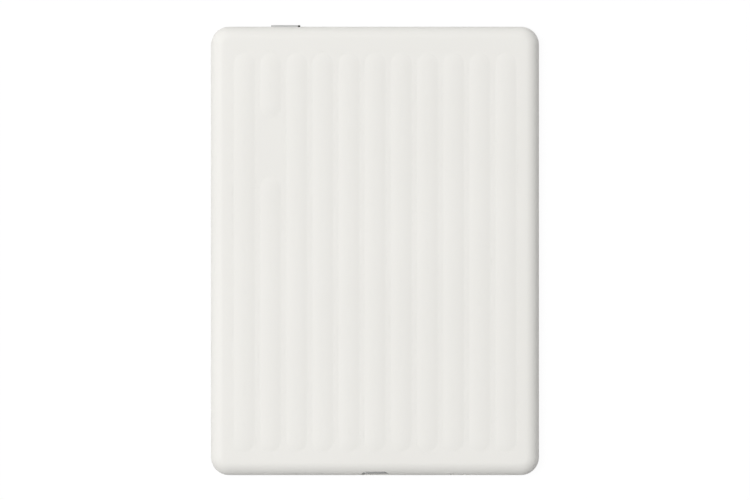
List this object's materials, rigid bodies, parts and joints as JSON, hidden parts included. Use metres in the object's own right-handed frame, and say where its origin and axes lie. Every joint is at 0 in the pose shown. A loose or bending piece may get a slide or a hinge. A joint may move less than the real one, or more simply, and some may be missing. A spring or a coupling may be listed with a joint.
{
  "type": "e-reader",
  "caption": "Slim six-inch e-paper reader: rounded warm white plastic shell with a ribbed back, a power key on the top edge and a USB-C inlet in the bottom edge.",
  "frame": {"origin": "centre of the outline on the plane of the front face, which the part rests on, face down", "axes": "+X to the right seen from behind, +Y towards the edge with the power key, +Z out of the ribbed back"},
  "size_m": [0.108, 0.1481, 0.0068],
  "materials": {
    "shell_plastic": "fine-grained warm white moulding",
    "button_plastic": "satin light grey moulding",
    "frame_plastic": "glass-filled black moulding",
    "black_foam": "soft matt",
    "clear_film": "clear, anti-glare",
    "ink_layer": "paper-like grey white",
    "backplane_glass": "thin smoked glass",
    "adhesive": "thin double-sided sheet",
    "led": "small moulded lamps",
    "flex_circuit": "amber polyimide",
    "circuit_board": "solder resist over glass laminate",
    "chip_black": "moulded epoxy",
    "ferrite": "dull grey",
    "capacitor_ceramic": "tan",
    "steel": "thin stamped and plated sheet",
    "screw_steel": "dark plated",
    "graphite": "flat dark grey sheet",
    "thermal_rubber": "soft filled silicone",
    "socket_plastic": "cream high-temperature moulding",
    "tongue_plastic": "black moulding",
    "gold": "gold-plated strips",
    "insulation": "thin black film",
    "cell_foil": "foil laminate pouch",
    "cell_wrap": "amber tape over a small circuit",
    "wire": "insulated wire"
  },
  "bodies": {
    "casing": {"antenna_spring": "steel", "battery_board": "cell_wrap", "battery_cell": "cell_foil", "battery_connector": "socket_plastic", "battery_lead": "wire", "battery_tape": "adhesive", "board_screws": "screw_steel", "capacitors": "capacitor_ceramic", "display_adhesive": "adhesive", "display_flex": "flex_circuit", "display_gasket": "black_foam", "flex_connectors": "socket_plastic", "foam_pads": "black_foam", "frame_screws": "screw_steel", "front_bezel": "shell_plastic", "frontlight_flex": "flex_circuit", "frontlight_leds": "led", "frontlight_strip": "adhesive", "glass_backplane": "backplane_glass", "graphite_sheet": "graphite", "inductors": "ferrite", "ink_film": "ink_layer", "insulating_film": "insulation", "key_flex": "flex_circuit", "key_stiffener": "steel", "light_guide": "clear_film", "main_board": "circuit_board", "memory_chips": "chip_black", "microphone": "steel", "microphone_boot": "thermal_rubber", "microphone_mesh": "steel", "mid_frame": "frame_plastic", "power_chips": "chip_black", "power_switch_body": "chip_black", "processor": "chip_black", "rear_cover": "shell_plastic", "reset_switch_body": "chip_black", "shield_can": "steel", "thermal_pad": "thermal_rubber", "touch_film": "clear_film", "touch_flex": "flex_circuit", "usb_contacts": "gold", "usb_shell": "steel", "usb_tongue": "tongue_plastic", "wifi_antenna": "flex_circuit", "wifi_module": "steel"},
    "power_key": {"power_button": "button_plastic"},
    "power_plunger": {"power_switch_plunger": "socket_plastic"},
    "reset_plunger": {"reset_switch_plunger": "socket_plastic"}
  },
  "joints": [
    {"name": "power_press", "type": "slide", "parent": "casing", "child": "power_key", "axis": [0, -1, 0], "range_m": [0, 0.0003], "stiffness_N_per_m": 1500, "springref_m": -0.0005},
    {"name": "power_plunger_slide", "type": "slide", "parent": "casing", "child": "power_plunger", "axis": [0, -1, 0], "range_m": [0, 0.0003]},
    {"name": "reset_press", "type": "slide", "parent": "casing", "child": "reset_plunger", "axis": [0, 1, 0], "range_m": [0, 0.00025], "stiffness_N_per_m": 1500, "springref_m": -0.0005}
  ],
  "couplings": [
    {"joint": "power_plunger_slide", "follows": "power_press", "ratio": 1}
  ]
}
